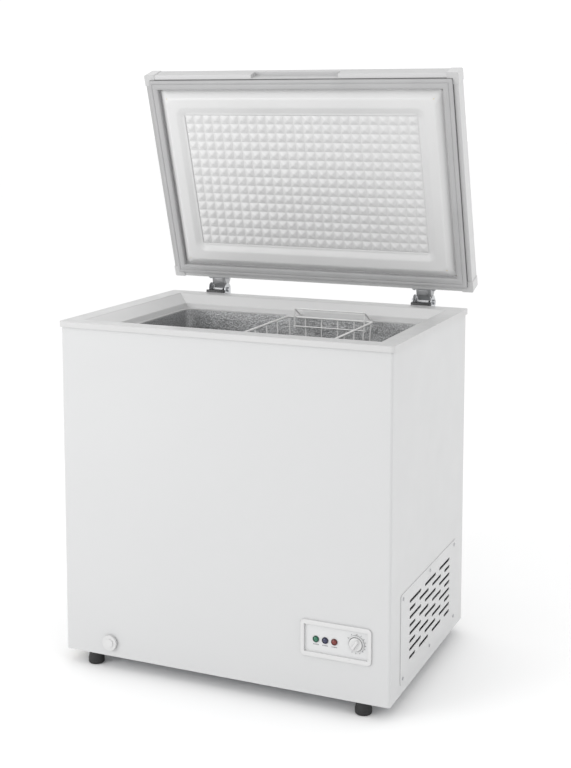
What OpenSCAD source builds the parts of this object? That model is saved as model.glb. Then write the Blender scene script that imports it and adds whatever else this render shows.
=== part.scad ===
// Chest freezer, about 150 litres, lid shown standing open.
// Millimetres, +Z up, feet on Z = 0, front of the cabinet towards -Y.
// The origin is under the centre of the box that the open freezer fills.

/* [Cabinet] */
// Width of the steel shell
shell_w = 788; // [770:1:800]
// Depth of the steel shell
shell_d = 540; // [530:1:550]
// Height of the rim's top face over the floor
rim_z = 797; // [790:1:810]
// Height of the shell's lower edge over the floor
shell_z = 31; // [28:1:34]
// How far the rim stands out past the shell on each side
rim_over = 4; // [3:0.5:5]
// Width of the rim's flat ledge
ledge_w = 42; // [40:1:44]
// Distance from the rim's outer edge to the tub's wall
tub_inset = 90; // [88:1:92]
// Height of the tub's floor over the floor
tub_floor = 96; // [90:1:110]
// Height of the step in the tub over the compressor
step_z = 345; // [340:1:360]
// Distance from the cabinet's middle to the step's face
step_x = 118; // [110:1:125]

/* [Lid] */
// Width of the lid's frame
lid_w = 804; // [798:1:808]
// Depth of the lid's frame
lid_d = 542; // [536:1:544]
// Height of the lid's top face over the sealing plane
lid_h = 49; // [47:0.5:52]
// How far the lid stands open, in degrees
lid_open = 73; // [60:1:80]
// Width of the gasket
gasket_w = 24; // [20:1:26]
// Rows of pyramids from front to back
pyramid_rows = 15; // [12:1:18]
// Pyramids from side to side
pyramid_cols = 25; // [20:1:28]

/* [Hinges] */
// Distance of the hinge pins behind the cabinet's middle
pin_y = 302.6; // [302:0.1:304]
// Distance of each hinge from the cabinet's middle
hinge_x = 278; // [250:1:300]
// Diameter of the hinge pin
pin_d = 8; // [7:0.5:9]
// Height of the pins over the closed lid's sealing plane
pin_up = 4.6; // [4:0.1:6]
// Support of the cam under the pin when the lid is closed
cam_closed = 22; // [21:0.5:22]
// Travel of the plunger for each radian of the lid
cam_rate = 8.22; // [8:0.01:8.3]

/* [Basket] */
// Width of the basket
basket_w = 220; // [200:2:230]
// Depth of the basket
basket_d = 316; // [306:2:320]
// Height of the basket's body
basket_h = 185; // [150:5:200]
// Distance of the basket's middle from the cabinet's middle
basket_x = 88; // [60:1:95]
// Diameter of the basket's frame wire
frame_wire = 5; // [4:0.5:5]
// Diameter of the basket's thin wire
thin_wire = 3; // [2.5:0.5:3.5]

/* [Controls] */
// Distance of the knob from the cabinet's middle
knob_x = 318.5; // [316:0.5:320]
// Height of the control panel's middle over the floor
panel_z = 156; // [150:1:160]
// Diameter of the thermostat knob
knob_d = 30; // [26:1:32]
// Distance of the drain from the cabinet's middle
drain_x = -276.5; // [-280:0.5:-270]
// Height of the drain over the floor
drain_z = 64; // [60:1:68]

/* [Hidden] */
$fn = 48;

// Thicknesses of sheet metal and of plastic skins
sheet = 1.2;
skin = 2.5;
// A cut runs this far past the face that it starts from
past = 1;

// Cabinet outlines
shell_r = 6;
rim_r = 8;
rim_w = shell_w + 2 * rim_over;
rim_d = shell_d + 2 * rim_over;
skirt_h = 13;
lip_inset = 76;
lip_drop = 19;
shelf_inset = 80;
shelf_drop = 31;
shelf_w = tub_inset - shelf_inset;
tub_w = rim_w - 2 * tub_inset;
tub_d = rim_d - 2 * tub_inset;
tub_r = 25;
tub_top = rim_z - shelf_drop - skin;
shell_top = rim_z - skin;
inner_w = shell_w - 2 * sheet;
inner_d = shell_d - 2 * sheet;
front_face = -shell_d / 2;
right_face = shell_w / 2;

// Compressor compartment under the step
room_x = step_x + 47;
room_top = step_z - 45;
room_floor = shell_z + 2;
room_end = inner_w / 2;

// Coils: the section of the tubes and the heights of their turns
evap_t = 7;
cond_t = 5;
evap_lower = [for (i = [0:2]) 130 + 75 * i];
evap_upper = [for (i = [0:5]) 365 + 70 * i];
cond_levels = [for (i = [0:5]) 370 + 45 * i];

// Lid: heights over the sealing plane, and distances from the frame's outer edge
gasket_h = 13;
rail_z = 10;
rail_wall = 2;
seat_z = gasket_h;
rail_top = lid_h - 1;
plug_foot = 40;
plug_edge = 56.5;
band_edge = 79;
field_edge = 95;
plug_face = -3;
field_face = 3;
pyramid_h = 4.5;
liner_t = 1.5;
field_w = lid_w - 2 * field_edge;
field_d = lid_d - 2 * field_edge;
cap_len = 26;
cap_t = 1.5;
grip_w = 224;
grip_d = 9;
grip_top = 34;

// Hinges
seal_gap = 0.4;
pin_z = rim_z + seal_gap + pin_up;
lid_rear = lid_d / 2;
cheek_t = 2;
body_half = 24;
arm_half = 18.5;
arm_t = 1.5;
hub_r = 9;
channel_back = pin_y + 17;
channel_low = 620;
seat_low = 636;
plunger_gap = 0.3;
spring_r = 12.5;
spring_wire = 3;
spring_turns = 9;
plunger_half_x = 21;
plunger_front = rim_d / 2 + 2.5;
plunger_back = channel_back - 2;
plunger_t = 5;
plunger_skirt = 16;
spring_y = (plunger_front + plunger_back) / 2;
deg = 180 / PI;
function cam_support(open) = cam_closed - cam_rate * open / deg;
plunger_top = pin_z - cam_support(lid_open) - plunger_gap;
spring_top = plunger_top - plunger_t;

// The box that the open freezer fills, front to back, sets the origin
knob_out = 13;
cap_rear = lid_rear + cap_t - pin_y;
cap_top = lid_h + cap_t / 2;
cap_rise = cap_top - pin_up;
front_end = front_face - knob_out;
rear_end = pin_y + cap_rear * cos(lid_open) + cap_rise * sin(lid_open);
cabinet_y = -(front_end + rear_end) / 2;

// Basket
basket_top = rim_z - shelf_drop + 2;
crest_rear = rim_z - 8;
crest_front = rim_z - 17;
hanger_w = 180;
hanger_low = basket_top - 26;
hook_y = rim_d / 2 - shelf_inset - frame_wire / 2 - 1;
hook_z = rim_z - shelf_drop + frame_wire / 2 + 0.3;
basket_taper = 9;

// Vent cover: plate and slots
vent_w = 410;
vent_low = 51;
vent_high = 251;
vent_t = 1.5;
slot_h = 7;
slot_pitch = 18;
slot_rows = 8;
slot_low = 92;
slot_y = 3.5;
slot_gap = 27;
slot_long = 82;
slot_mid = 68;
slot_end = 42;
vent_screw_y = [-190, 0, 190];
vent_screw_z = [64, 240];

// Feet
foot_x = 328;
foot_y = 248;
foot_d = 37;

// Colours
white = [0.93, 0.93, 0.93];
plastic = [0.95, 0.95, 0.94];
zinc = [0.72, 0.73, 0.75];
steel_black = [0.09, 0.09, 0.10];
rubber = [0.10, 0.10, 0.10];
copper = [0.72, 0.42, 0.26];
foam = [0.93, 0.87, 0.66];
grey_seal = [0.66, 0.66, 0.66];
alu = [0.70, 0.71, 0.72];
lamp_colours = [[0.05, 0.50, 0.28], [0.10, 0.14, 0.40], [0.72, 0.12, 0.08]];

// ---- Frames and shared shapes

// Puts children drawn about the cabinet's middle into the part's own frame
module in_cabinet() {
    translate([0, cabinet_y, 0]) children();
}

// Puts children drawn for the closed lid, about the middle of the sealing
// plane, into the part's own frame with the lid standing open
module in_lid() {
    in_cabinet()
        translate([0, pin_y, pin_z])
            rotate([-lid_open, 0, 0])
                translate([0, -pin_y, -pin_up]) children();
}

// Rectangle about the origin with round corners
module rounded_rect(w, d, r) {
    square([w - 2 * r, d], center = true);
    square([w, d - 2 * r], center = true);
    for (x = [-1, 1], y = [-1, 1])
        translate([x * (w / 2 - r), y * (d / 2 - r)]) circle(r);
}

// Upright block with round vertical edges between two heights
module upright(w, d, r, low, high) {
    translate([0, 0, low]) linear_extrude(high - low) rounded_rect(w, d, r);
}

// Block between two corners
module block(low, high) {
    translate(low) cube(high - low);
}

// Rod along X, Y or Z from a start point
module rod_x(at, length, d) {
    translate(at) rotate([0, 90, 0]) cylinder(h = length, d = d);
}
module rod_y(at, length, d) {
    translate(at) rotate([-90, 0, 0]) cylinder(h = length, d = d);
}
module rod_z(at, length, d) {
    translate(at) cylinder(h = length, d = d);
}

// Rod between any two points
module rod(a, b, d) {
    v = b - a;
    translate(a)
        rotate([0, acos(v[2] / norm(v)), atan2(v[1], v[0])])
            cylinder(h = norm(v), d = d);
}

// One side of a rectangular frame, mitred at both ends. The child is its
// section, drawn with x inwards from the outer edge and y upwards.
module frame_side(length, off, reach) {
    intersection() {
        translate([-length / 2, -off, 0])
            rotate([90, 0, 90]) linear_extrude(length) children();
        translate([0, 0, -100])
            linear_extrude(200)
                polygon([
                    [-length / 2, -off],
                    [length / 2, -off],
                    [length / 2 - reach, reach - off],
                    [reach - length / 2, reach - off]
                ]);
    }
}

// Whole rectangular frame with the child as its section
module frame_ring(w, d, reach) {
    for (turn = [0, 180]) rotate(turn) frame_side(w, d / 2, reach) children();
    for (turn = [90, 270]) rotate(turn) frame_side(d, w / 2, reach) children();
}

// ---- Cabinet

// Room inside the tub, grown outwards by a thickness
module tub_room(grow, top) {
    lower_w = tub_w / 2 + step_x;
    translate([(step_x - tub_w / 2) / 2, 0, 0])
        upright(lower_w + 2 * grow, tub_d + 2 * grow, tub_r + grow,
            tub_floor - grow, step_z + past);
    upright(tub_w + 2 * grow, tub_d + 2 * grow, tub_r + grow, step_z - grow, top);
}

module cabinet_shell() {
    color(white) in_cabinet() difference() {
        upright(shell_w, shell_d, shell_r, shell_z, shell_top);
        upright(inner_w, inner_d, shell_r - sheet, shell_z - past, shell_top + past);
        block([-inner_w / 2 + shell_r, 0, shell_z - past],
            [inner_w / 2 - shell_r, shell_d, shell_top + past]);
        panel_hole(-5, 16);
        rod_y([drain_x, front_face - past, drain_z], 4, 20.5);
        block([right_face - 4, -vent_w / 2 + 20, vent_low + 22],
            [right_face + 4, vent_w / 2 - 20, vent_high - 20]);
        for (y = vent_screw_y, z = vent_screw_z) rod_x([right_face - 4, y, z], 8, 3.4);
    }
}

// Opening in the shell for the control panel, from one depth to another
module panel_hole(from, to) {
    block([bezel_x - 75.5, front_face + from, panel_z - 35.5],
        [bezel_x + 75.5, front_face + to, panel_z + 35.5]);
}

module rear_panel() {
    span = inner_w - 2 * shell_r;
    color(white) in_cabinet() difference() {
        block([-span / 2, shell_d / 2 - sheet, shell_z], [span / 2, shell_d / 2, shell_top]);
        rod_y([gland_x, shell_d / 2 - 5, gland_z], 10, 14);
        for (side = [-1, 1]) hinge_holes(side, 5.4);
    }
}

module base_panel() {
    color(zinc) in_cabinet() difference() {
        union() {
            block([-inner_w / 2 + shell_r, -inner_d / 2, shell_z],
                [room_x - sheet, inner_d / 2, shell_z + sheet]);
            for (y = [-foot_y, foot_y]) rod_z([-foot_x, y, shell_z], 8, 14);
        }
        for (y = [-foot_y, foot_y]) rod_z([-foot_x, y, shell_z - past], 12, 6.2);
    }
}

module compressor_plate() {
    color(zinc) in_cabinet() difference() {
        union() {
            block([room_x - sheet, -inner_d / 2, shell_z],
                [room_end - shell_r, inner_d / 2, room_floor]);
            for (y = [-foot_y, foot_y]) rod_z([foot_x, y, shell_z], 8, 14);
        }
        for (y = [-foot_y, foot_y]) rod_z([foot_x, y, shell_z - past], 12, 6.2);
        compressor_studs(8, shell_z - past, room_floor + past);
    }
}

module compartment_liner() {
    color(zinc) in_cabinet() difference() {
        intersection() {
            union() {
                block([room_x - sheet, -inner_d / 2, room_floor],
                    [room_x, inner_d / 2, room_top + sheet]);
                block([room_x, -inner_d / 2, room_top],
                    [room_end, inner_d / 2, room_top + sheet]);
            }
            upright(inner_w, inner_d, shell_r - sheet, shell_z, room_top + sheet + past);
        }
        foam_ducts(1);
    }
}

module top_rim() {
    color(plastic) in_cabinet() intersection() {
        translate([0, 0, rim_z]) frame_ring(rim_w, rim_d, tub_inset + 5)
            polygon([
                [0, -skirt_h],
                [0, 0],
                [ledge_w, 0],
                [lip_inset, -lip_drop],
                [shelf_inset, -shelf_drop],
                [shelf_inset + shelf_w, -shelf_drop],
                [shelf_inset + shelf_w, -shelf_drop - skin],
                [shelf_inset - 2.4, -shelf_drop - skin],
                [lip_inset - 2.2, -lip_drop - 2],
                [ledge_w - 0.8, -skin],
                [skin, -skin],
                [skin, -skirt_h]
            ]);
        upright(rim_w, rim_d, rim_r, rim_z - 60, rim_z + past);
    }
}

module inner_liner() {
    color(alu) in_cabinet() difference() {
        tub_room(sheet, tub_top);
        tub_room(0, tub_top + past);
        rod_z([drain_x, drain_in_y, tub_floor - 5], 10, 16.2);
    }
}

module cabinet_foam() {
    color(foam) in_cabinet() difference() {
        union() {
            upright(inner_w, inner_d, shell_r - sheet, shell_z + sheet, tub_top);
            translate([0, 0, rim_z]) intersection() {
                frame_ring(rim_w, rim_d, tub_inset + 5)
                    polygon([
                        [rim_over + sheet, -shelf_drop - 10],
                        [rim_over + sheet, -skin],
                        [ledge_w - 0.8, -skin],
                        [lip_inset - 2.2, -lip_drop - 2],
                        [shelf_inset - 2.4, -shelf_drop - skin],
                        [tub_inset - sheet, -shelf_drop - skin],
                        [tub_inset - sheet, -shelf_drop - 10]
                    ]);
                upright(inner_w, inner_d, shell_r - sheet, -60, past);
            }
        }
        tub_room(sheet, rim_z);
        block([room_x - sheet, -shell_d, shell_z - past], [shell_w, shell_d, room_top + sheet]);
        evaporator_turns();
        condenser_turns();
        foam_ducts(0.5);
        for (y = [-foot_y, foot_y]) rod_z([-foot_x, y, shell_z], 9, 14.4);
        rod_y([drain_x, front_face, drain_z], drain_in_y + 9 - front_face, 20.4);
        rod_z([drain_x, drain_in_y, drain_z], 40, 17);
        for (side = [-1, 1]) nut_plate(side, 0.2);
        for (side = [-1, 1]) hinge_holes(side, 9);
    }
}

// Turns of the evaporator tube against the outside of the tub
module evaporator_turns() {
    lower_w = tub_w / 2 + step_x;
    near = sheet;
    far = sheet + evap_t;
    for (z = evap_lower)
        translate([(step_x - tub_w / 2) / 2, 0, z])
            linear_extrude(evap_t) difference() {
                rounded_rect(lower_w + 2 * far, tub_d + 2 * far, tub_r + far);
                rounded_rect(lower_w + 2 * near, tub_d + 2 * near, tub_r + near);
            }
    for (z = evap_upper)
        translate([0, 0, z]) linear_extrude(evap_t) difference() {
            rounded_rect(tub_w + 2 * far, tub_d + 2 * far, tub_r + far);
            rounded_rect(tub_w + 2 * near, tub_d + 2 * near, tub_r + near);
        }
    block([-tub_w / 2 - far, -evap_t / 2, evap_lower[0]],
        [-tub_w / 2 - near, evap_t / 2, evap_upper[len(evap_upper) - 1]]);
}

module evaporator_coil() {
    color(alu) in_cabinet() evaporator_turns();
}

// Turns of the condenser tube against the inside of the shell
module condenser_turns() {
    far = -cond_t;
    r = shell_r - sheet;
    for (z = cond_levels)
        translate([0, 0, z]) linear_extrude(cond_t) difference() {
            rounded_rect(inner_w, inner_d, r);
            rounded_rect(inner_w + 2 * far, inner_d + 2 * far, r - 3);
        }
    block([-inner_w / 2, -cond_t / 2, cond_levels[0]],
        [-inner_w / 2 + cond_t, cond_t / 2, cond_levels[len(cond_levels) - 1]]);
}

module condenser_coil() {
    color(steel_black) in_cabinet() condenser_turns();
}

// Ways through the compartment's walls and the foam for the four pipes
module foam_ducts(grow) {
    rod_z([discharge_x, pipe_back, room_top - 5], cond_levels[0] - room_top + 5, 5 + grow);
    rod_z([liquid_x, -pipe_back, room_top - 5], cond_levels[0] - room_top + 5, 5 + grow);
    rod_x([step_x + sheet, suction_y, suction_z], room_x - step_x + 5, 8 + grow);
    rod_x([step_x + sheet, capillary_y, suction_z], room_x - step_x + 5, 2.4 + grow);
}

// ---- Vent cover on the right side

module slot(y, z, length) {
    translate([y, z]) {
        square([length - slot_h, slot_h], center = true);
        for (end = [-1, 1]) translate([end * (length - slot_h) / 2, 0]) circle(d = slot_h);
    }
}

// Even rows have three long slots, odd rows have two between two short ones
module slot_field() {
    long_step = slot_long + slot_gap;
    mid_y = (slot_mid + slot_gap) / 2;
    end_y = slot_mid + slot_gap + (slot_gap + slot_end) / 2;
    for (row = [0:slot_rows - 1]) {
        z = slot_low + row * slot_pitch;
        if (row % 2 == 1) {
            for (i = [-1:1]) slot(slot_y + i * long_step, z, slot_long);
        } else {
            for (side = [-1, 1]) {
                slot(slot_y + side * mid_y, z, slot_mid);
                slot(slot_y + side * end_y, z, slot_end);
            }
        }
    }
}

module vent_cover() {
    color(white) in_cabinet() difference() {
        translate([right_face, 0, 0])
            rotate([90, 0, 90]) linear_extrude(vent_t) difference() {
                translate([0, (vent_low + vent_high) / 2])
                    rounded_rect(vent_w, vent_high - vent_low, 8);
                slot_field();
            }
        for (y = vent_screw_y, z = vent_screw_z) rod_x([right_face - past, y, z], 4, 4);
    }
}

module vent_screws() {
    color(zinc) in_cabinet()
        for (y = vent_screw_y, z = vent_screw_z) {
            rod_x([right_face + vent_t, y, z], 1.6, 7.5);
            rod_x([right_face - 4, y, z], 4 + vent_t, 3.2);
        }
}

// ---- Refrigeration parts in the compartment

can_x = 285;
can_y = 40;
can_r = 74;
can_low = 56;
can_h = 170;
stud_x = 150;
stud_y = 110;
discharge_x = 235;
liquid_x = 372;
pipe_back = inner_d / 2 - cond_t / 2;
suction_y = 110;
suction_z = evap_lower[1] + evap_t / 2;
capillary_y = -120;
drier_x = 205;

module compressor_studs(d, low, high) {
    for (x = [-1, 1], y = [-1, 1])
        rod_z([can_x + x * stud_x / 2, can_y + y * stud_y / 2, low], high - low, d);
}

module compressor() {
    foot_z = room_floor + 19;
    color(steel_black) in_cabinet() difference() {
        union() {
            intersection() {
                rod_z([can_x, can_y, can_low], can_h, 2 * can_r);
                translate([can_x, can_y, can_low + can_h / 2]) sphere(r = can_r * 1.36, $fn = 96);
            }
            rod_z([can_x, can_y, can_low + can_h / 2 - 2], 4, 2 * can_r + 8);
            translate([can_x, can_y, foot_z])
                linear_extrude(6) rounded_rect(stud_x + 34, stud_y + 34, 14);
        }
        compressor_studs(8, foot_z - past, foot_z + 8);
    }
}

module compressor_mounts() {
    color(rubber) in_cabinet() difference() {
        compressor_studs(24, room_floor, room_floor + 19);
        compressor_studs(8, room_floor - past, room_floor + 20);
    }
}

module compressor_bolts() {
    color(zinc) in_cabinet() {
        compressor_studs(7.8, shell_z, room_floor + 30);
        compressor_studs(15, room_floor + 25, room_floor + 29);
    }
}

module terminal_cover() {
    front = can_y - can_r - 24;
    color(steel_black) in_cabinet() difference() {
        block([can_x - 32, front, 100], [can_x + 32, can_y - 40, 165]);
        rod_z([can_x, can_y, 90], 90, 2 * can_r + 0.4);
        rod_z([can_x, can_y, can_low + can_h / 2 - 3], 6, 2 * can_r + 9);
    }
}

module filter_drier() {
    color(copper) in_cabinet() {
        rod_z([drier_x, capillary_y, 150], 90, 18);
        translate([drier_x, capillary_y, 240]) cylinder(h = 12, d1 = 18, d2 = 6);
        translate([drier_x, capillary_y, 138]) cylinder(h = 12, d1 = 5, d2 = 18);
    }
}

module discharge_pipe() {
    z = 175;
    start = can_y + 55;
    color(copper) in_cabinet() {
        rod_x([discharge_x, start, z], 45, 5);
        rod_y([discharge_x, start, z], pipe_back - start, 5);
        rod_z([discharge_x, pipe_back, z], cond_levels[0] - z, 5);
        translate([discharge_x, start, z]) sphere(d = 6.4);
        translate([discharge_x, pipe_back - 0.8, z]) sphere(d = 6.4);
    }
}

module suction_pipe() {
    color(copper) in_cabinet() difference() {
        rod_x([step_x + sheet + evap_t, suction_y, suction_z],
            can_x - step_x - sheet - evap_t - 30, 8);
        rod_z([can_x, can_y, can_low], can_h, 2 * can_r + 0.02);
    }
}

module liquid_line() {
    z = 262;
    color(copper) in_cabinet() {
        rod_z([drier_x, capillary_y, 252], z - 252, 5);
        rod_x([drier_x, capillary_y, z], liquid_x - drier_x, 5);
        rod_y([liquid_x, -pipe_back, z], pipe_back + capillary_y, 5);
        rod_z([liquid_x, -pipe_back, z], cond_levels[0] - z, 5);
        translate([drier_x, capillary_y, z]) sphere(d = 6.4);
        translate([liquid_x, capillary_y, z]) sphere(d = 6.4);
        translate([liquid_x, -pipe_back + 0.8, z]) sphere(d = 6.4);
    }
}

module capillary_tube() {
    z = 126;
    color(copper) in_cabinet() {
        rod_z([drier_x, capillary_y, z], 138 - z, 2.4);
        rod_x([drier_x - 20, capillary_y, z], 20, 2.4);
        rod_z([drier_x - 20, capillary_y, z], suction_z - z, 2.4);
        rod_x([step_x + sheet + evap_t, capillary_y, suction_z],
            drier_x - 20 - step_x - sheet - evap_t, 2.4);
        translate([drier_x, capillary_y, z]) sphere(d = 3.2);
        translate([drier_x - 20, capillary_y, z]) sphere(d = 3.2);
        translate([drier_x - 20, capillary_y, suction_z]) sphere(d = 3.2);
    }
}

// ---- Control panel on the front

bezel_x = knob_x - 45;
dial_z = panel_z + 2.5;
lamp_z = panel_z - 1.5;
bezel_out = 4;
plate_back = 3;
lamp_x = [for (i = [0:2]) bezel_x - 46 + 21 * i];

module thermostat_body() {
    color(plastic) in_cabinet() difference() {
        union() {
            block([knob_x - 22, front_face + 8, panel_z - 20],
                [knob_x + 22, front_face + 46, panel_z + 20]);
            rod_y([knob_x, front_face + plate_back, dial_z], 6, 12);
        }
        rod_y([knob_x, front_face, dial_z], 30, 6.1);
    }
}

module thermostat_shaft() {
    color(zinc) in_cabinet() rod_y([knob_x, front_face - 6, dial_z], 28, 6);
}

module thermostat_knob() {
    color(plastic) in_cabinet() translate([knob_x, front_face, dial_z]) difference() {
        union() {
            rod_y([0, -7.5, 0], 5.5, knob_d);
            intersection() {
                rod_y([0, -knob_out, 0], knob_out - 5, knob_d - 1);
                rotate([0, 33, 0]) block([-3.5, -knob_out, -knob_d / 2], [3.5, -5, knob_d / 2]);
            }
        }
        rod_y([0, -6, 0], 8, 6);
    }
}

module control_bezel() {
    color(plastic) in_cabinet() translate([bezel_x, front_face, panel_z]) difference() {
        union() {
            rotate([90, 0, 0]) linear_extrude(bezel_out) rounded_rect(160, 80, 10);
            block([-75, -past, -35], [75, 12, 35]);
        }
        block([-72, -bezel_out - past, -30], [72, plate_back, 30]);
        block([-68, 0, -28], [68, 13, 28]);
    }
}

module control_plate() {
    color(plastic) in_cabinet() difference() {
        block([bezel_x - 72, front_face + 1, panel_z - 30],
            [bezel_x + 72, front_face + plate_back, panel_z + 30]);
        rod_y([knob_x, front_face, dial_z], 5, 8);
        for (x = lamp_x) rod_y([x, front_face, lamp_z], 5, 12.2);
    }
}

module lamp(i) {
    color(lamp_colours[i]) in_cabinet() translate([lamp_x[i], front_face, lamp_z]) {
        rod_y([0, -0.5, 0], 20, 12);
        rod_y([0, plate_back, 0], 2, 15);
    }
}
module lamp_green() {
    lamp(0);
}
module lamp_blue() {
    lamp(1);
}
module lamp_red() {
    lamp(2);
}

// ---- Drain

drain_in_y = -150;

module drain_cap() {
    color(plastic) in_cabinet() translate([drain_x, front_face, drain_z]) {
        rod_y([0, -8, 0], 6, 35);
        rod_y([0, -10, 0], 2, 20);
        rod_y([0, -2, 0], 14, 13.4);
    }
}

module drain_outlet() {
    color(plastic) in_cabinet() translate([drain_x, front_face, drain_z]) difference() {
        union() {
            rod_y([0, -1.8, 0], 1.8, 31);
            rod_y([0, 0, 0], 40, 20);
        }
        rod_y([0, -3, 0], 50, 14);
    }
}

module drain_tube() {
    start = front_face + 40;
    color(plastic) in_cabinet() difference() {
        union() {
            rod_y([drain_x, start, drain_z], drain_in_y - start, 16);
            rod_z([drain_x, drain_in_y, drain_z], tub_floor - drain_z, 16);
            translate([drain_x, drain_in_y, drain_z]) sphere(d = 16.6);
        }
        rod_y([drain_x, start - past, drain_z], drain_in_y - start + past, 12);
        rod_z([drain_x, drain_in_y, drain_z], tub_floor - drain_z + past, 12);
        translate([drain_x, drain_in_y, drain_z]) sphere(d = 12.4);
    }
}

module drain_plug() {
    color(rubber) in_cabinet() translate([drain_x, drain_in_y, tub_floor]) {
        rod_z([0, 0, -14], 15, 11.4);
        rod_z([0, 0, 0.1], 3, 26);
        block([-1.5, -6, 2], [1.5, 6, 12]);
    }
}

// ---- Power inlet and feet

gland_x = 250;
gland_z = 90;

module cord_gland() {
    color(rubber) in_cabinet() difference() {
        union() {
            rod_y([gland_x, shell_d / 2, gland_z], 6, 22);
            rod_y([gland_x, shell_d / 2 - 6, gland_z], 7, 13.8);
            rod_y([gland_x, shell_d / 2 - 8, gland_z], 8 - sheet, 19);
        }
        rod_y([gland_x, shell_d / 2 - 10, gland_z], 20, 8.4);
    }
}

module feet() {
    r = foot_d / 2;
    color(rubber) in_cabinet()
        for (x = [-foot_x, foot_x], y = [-foot_y, foot_y])
            translate([x, y, 0]) rotate_extrude() polygon([
                [8, 0],
                [r - 3, 0],
                [r - 0.9, 1.2],
                [r, 3.5],
                [r, 12],
                [r - 2, 20],
                [r - 2, shell_z],
                [3.3, shell_z],
                [3.3, 14],
                [8, 14]
            ]);
}

module foot_screws() {
    color(zinc) in_cabinet()
        for (x = [-foot_x, foot_x], y = [-foot_y, foot_y]) {
            rod_z([x, y, 14], shell_z - 6, 6);
            rod_z([x, y, 9], 5, 13);
        }
}

// ---- Hinges

ear_x = 34;
ear_half = 43;
ear_z = [640, 745];

module hinge_holes(side, d) {
    for (x = [-ear_x, ear_x], z = ear_z)
        rod_y([side * hinge_x + x, shell_d / 2 - 7, z], 12, d);
}

module nut_plate(side, grow) {
    half = ear_half + grow;
    at = side * hinge_x;
    block([at - half, shell_d / 2 - sheet - 3 - grow, channel_low + 5 - grow],
        [at + half, shell_d / 2 - sheet, 765 + grow]);
}

module hinge_nut_plates() {
    color(zinc) in_cabinet() difference() {
        for (side = [-1, 1]) nut_plate(side, 0);
        for (side = [-1, 1]) hinge_holes(side, 5.1);
    }
}

// Channel on the cabinet's back that carries the pin, spring and plunger
module hinge_body(side) {
    web = shell_d / 2;
    color(zinc) in_cabinet() difference() {
        translate([side * hinge_x, 0, 0]) {
            block([-ear_half, web, channel_low], [ear_half, web + cheek_t, 775]);
            for (x = [-body_half, body_half - cheek_t])
                translate([x, 0, 0]) rotate([90, 0, 90]) linear_extrude(cheek_t) {
                    translate([web + cheek_t, channel_low])
                        square([channel_back - web - cheek_t, 160]);
                    translate([pin_y - 17, 770]) square([34, pin_z - 770]);
                    translate([pin_y, pin_z]) circle(17);
                }
            block([-body_half + cheek_t, web + cheek_t, seat_low],
                [body_half - cheek_t, channel_back, seat_low + 4]);
        }
        rod_x([side * hinge_x - 50, pin_y, pin_z], 100, pin_d + 0.1);
        hinge_holes(side, 5.4);
    }
}
module hinge_body_left() {
    hinge_body(-1);
}
module hinge_body_right() {
    hinge_body(1);
}

module hinge_body_screws() {
    color(zinc) in_cabinet()
        for (side = [-1, 1], x = [-ear_x, ear_x], z = ear_z)
            translate([side * hinge_x + x, shell_d / 2 + cheek_t, z]) {
                rod_y([0, 0, 0], 3, 10);
                rod_y([0, -6.2, 0], 6.2, 5);
            }
}

module hinge_pins() {
    half = body_half + 3;
    color(zinc) in_cabinet()
        for (side = [-1, 1]) translate([side * hinge_x, pin_y, pin_z]) {
            rod_x([-half, 0, 0], 2 * half, pin_d);
            rod_x([-half - 2, 0, 0], 5, 13);
            rod_x([half - 3, 0, 0], 5, 13);
        }
}

// Outline of the cam for a flat follower, about the pin, on the closed lid:
// its support falls evenly as the lid opens
function cam_point(open) =
    let (h = cam_support(open))
        [h * sin(open) - cam_rate * cos(open), -h * cos(open) - cam_rate * sin(open)];
cam_outline = concat(
    [[0, 5], [-8.4, 3]],
    [for (open = [-4:4:88]) cam_point(open)]
);

// Folded steel arm on the lid's rear rail, with cam-shaped tails
module hinge_arm(side) {
    leaf = lid_rear - pin_y;
    low = rail_z - pin_up;
    color(zinc) in_lid() difference() {
        translate([side * hinge_x, pin_y, pin_up]) {
            block([-30, leaf, low + 1], [30, leaf + 2, low + 37]);
            block([-arm_half, leaf, low - arm_t], [arm_half, -12, low]);
            for (x = [-arm_half, arm_half - arm_t])
                translate([x, 0, 0]) rotate([90, 0, 90]) linear_extrude(arm_t) {
                    circle(hub_r);
                    polygon(cam_outline);
                    polygon([
                        [leaf, low - arm_t],
                        [leaf, low + 36],
                        [leaf + 8, low + 36],
                        [7.5, 5],
                        [0, -3],
                        [-7.5, low - arm_t]
                    ]);
                }
        }
        rod_x([side * hinge_x - 50, pin_y, pin_up], 100, pin_d + 0.1);
        translate([0, lid_rear - 2, 0]) arm_screws_at(side, 4.4);
    }
}
module hinge_arm_left() {
    hinge_arm(-1);
}
module hinge_arm_right() {
    hinge_arm(1);
}

module arm_screws_at(side, d) {
    for (x = [-25, 25], z = [14, 36]) rod_y([side * hinge_x + x, 0, z], 6, d);
}

module hinge_arm_screws() {
    color(zinc) in_lid() {
        for (side = [-1, 1]) {
            translate([0, lid_rear - 3.9, 0]) arm_screws_at(side, 4.2);
            for (x = [-25, 25], z = [14, 36])
                rod_y([side * hinge_x + x, lid_rear + 2, z], 2.4, 8.5);
        }
    }
}

module hinge_plunger(side) {
    color([0.2, 0.2, 0.22]) in_cabinet() difference() {
        block([side * hinge_x - plunger_half_x, plunger_front, plunger_top - plunger_skirt],
            [side * hinge_x + plunger_half_x, plunger_back, plunger_top]);
        rod_z([side * hinge_x, spring_y, plunger_top - plunger_skirt - past],
            plunger_skirt - plunger_t + past, 2 * spring_r + spring_wire + 2);
    }
}
module hinge_plunger_left() {
    hinge_plunger(-1);
}
module hinge_plunger_right() {
    hinge_plunger(1);
}

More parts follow.
